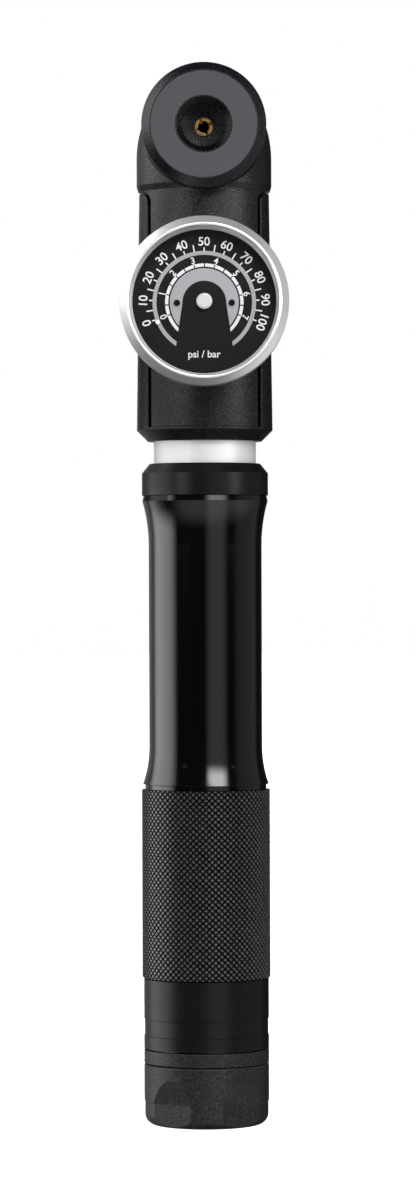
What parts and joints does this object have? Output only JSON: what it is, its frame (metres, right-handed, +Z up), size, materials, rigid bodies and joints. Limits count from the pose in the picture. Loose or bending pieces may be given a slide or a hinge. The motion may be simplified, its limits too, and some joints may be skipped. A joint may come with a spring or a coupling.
{
  "type": "mini pump",
  "caption": "Telescoping hand pump for bicycle tyres with a round pressure gauge and a hose port on its head, standing closed on its screw cap.",
  "frame": {"origin": "on the pump's axis, at the end cap's bottom face", "axes": "+Z up along the pump towards the head, -Y out of the gauge and the hose port, +X to the right seen from the gauge's side"},
  "size_m": [0.0364, 0.0389, 0.2311],
  "materials": {
    "charcoal": "fine matte grain",
    "gloss_black": "gloss black anodised",
    "satin_black": "satin black anodised",
    "knurl_black": "knurled matte black anodised",
    "tube_silver": "satin anodised",
    "bezel_silver": "bright satin",
    "face_grey": "grey blasted",
    "funnel_black": "satin moulded",
    "steel": "bright",
    "magnet": "nickel plated",
    "brass": "turned",
    "bronze": "drawn",
    "nylon": "moulded",
    "rubber": "moulded",
    "dial_black": "matt printed",
    "clear": "clear moulded",
    "white": "printed",
    "glass": "clear"
  },
  "bodies": {
    "handle": {"handle_sleeve": "gloss_black", "collar": "satin_black", "collar_wiper": "nylon", "slide_bush": "nylon", "knurled_grip": "knurl_black", "handle_base": "satin_black", "end_plug": "charcoal", "piston_rod": "tube_silver", "piston": "brass", "piston_seal": "rubber", "bump_stop": "rubber"},
    "guide": {"guide_bush": "nylon"},
    "head": {"head_body": "charcoal", "head_frame": "charcoal", "frame_screws": "steel", "cylinder_tube": "tube_silver", "cylinder_seal": "rubber", "valve_seat": "brass", "valve_spring": "steel", "port_ring": "charcoal", "port_face": "face_grey", "port_magnet": "magnet", "port_socket": "funnel_black", "port_nozzle": "brass", "port_seal": "rubber", "gauge_case": "satin_black", "gauge_bezel": "bezel_silver", "gauge_lens": "glass", "lens_gasket": "rubber", "dial_spacer": "bezel_silver", "gauge_dial": "dial_black", "dial_screws": "satin_black", "front_plate": "brass", "rear_plate": "brass", "movement_pillars": "brass", "bourdon_tube": "bronze", "gauge_socket": "brass", "gauge_link": "steel"},
    "valve": {"valve_poppet": "nylon"},
    "pointer": {"pointer_disc": "clear", "pointer_hub": "tube_silver", "pointer_mark": "white", "pointer_arbor": "steel"},
    "sector": {"sector_gear": "brass"},
    "seal": {"cap_seal": "rubber"},
    "cap": {"end_cap": "charcoal"}
  },
  "joints": [
    {"name": "stroke", "type": "slide", "parent": "handle", "child": "guide", "axis": [0, 0, 1], "range_m": [0, 0.092]},
    {"name": "swivel", "type": "hinge", "parent": "guide", "child": "head", "pos_m": [0, 0, 0.032], "axis": [0, 0, 1], "continuous": true},
    {"name": "valve_lift", "type": "slide", "parent": "head", "child": "valve", "axis": [0, 0, 1], "range_m": [0, 0.001], "stiffness_N_per_m": 60, "springref_m": -0.003, "deforming": ["valve_spring"]},
    {"name": "pointer_turn", "type": "hinge", "parent": "head", "child": "pointer", "pos_m": [0, -0.0203, 0.1794], "axis": [0, 1, 0], "range_deg": [0, 222], "stiffness_Nm_per_rad": 0.00005, "springref_deg": -28.65},
    {"name": "sector_turn", "type": "hinge", "parent": "head", "child": "sector", "pos_m": [0, -0.016, 0.17065], "axis": [0, 1, 0], "range_deg": [-37.01, 0]},
    {"name": "cap_travel", "type": "slide", "parent": "handle", "child": "seal", "axis": [0, 0, -1], "range_m": [0, 0.00751]},
    {"name": "cap_turn", "type": "hinge", "parent": "seal", "child": "cap", "pos_m": [0, 0, 0.0141], "axis": [0, 0, -1], "range_deg": [0, 1800]}
  ],
  "couplings": [
    {"joint": "sector_turn", "follows": "pointer_turn", "ratio": -0.16667},
    {"joint": "cap_travel", "follows": "cap_turn", "m_per_rad": 0.00023873}
  ]
}
